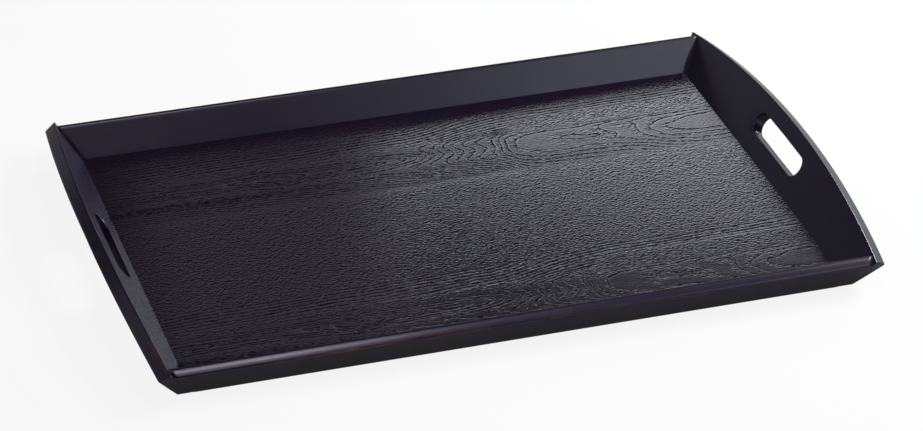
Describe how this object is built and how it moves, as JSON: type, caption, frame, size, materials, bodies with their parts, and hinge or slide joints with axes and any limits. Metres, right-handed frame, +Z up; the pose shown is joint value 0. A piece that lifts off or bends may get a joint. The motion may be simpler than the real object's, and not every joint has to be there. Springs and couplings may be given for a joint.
{
  "type": "serving tray",
  "caption": "Low rectangular wooden serving tray with outward-leaning walls, arched end panels with a hand slot in each, and a grained floor.",
  "frame": {"origin": "on the table, under the middle of the tray", "axes": "+X along the length, from one hand slot to the other, +Y to the back rail, +Z up"},
  "size_m": [0.599, 0.3992, 0.0465],
  "materials": {
    "black_satin_wood": "black stain under a satin clear coat, worn brown on the front edge",
    "relief_oak": "black open-pored oak with brushed relief grain, satin",
    "backing_veneer": "black stained veneer, matt",
    "core_board": "raw board",
    "dowel_wood": "raw turned hardwood"
  },
  "bodies": {
    "root": {"base_core": "core_board", "floor_leaf_back": "relief_oak", "floor_leaf_front": "relief_oak", "base_backing": "backing_veneer", "front_rail": "black_satin_wood", "back_rail": "black_satin_wood", "left_end": "black_satin_wood", "right_end": "black_satin_wood", "front_left_lower_dowel": "dowel_wood", "front_left_upper_dowel": "dowel_wood", "front_right_lower_dowel": "dowel_wood", "front_right_upper_dowel": "dowel_wood", "back_left_lower_dowel": "dowel_wood", "back_left_upper_dowel": "dowel_wood", "back_right_lower_dowel": "dowel_wood", "back_right_upper_dowel": "dowel_wood"}
  },
  "joints": []
}
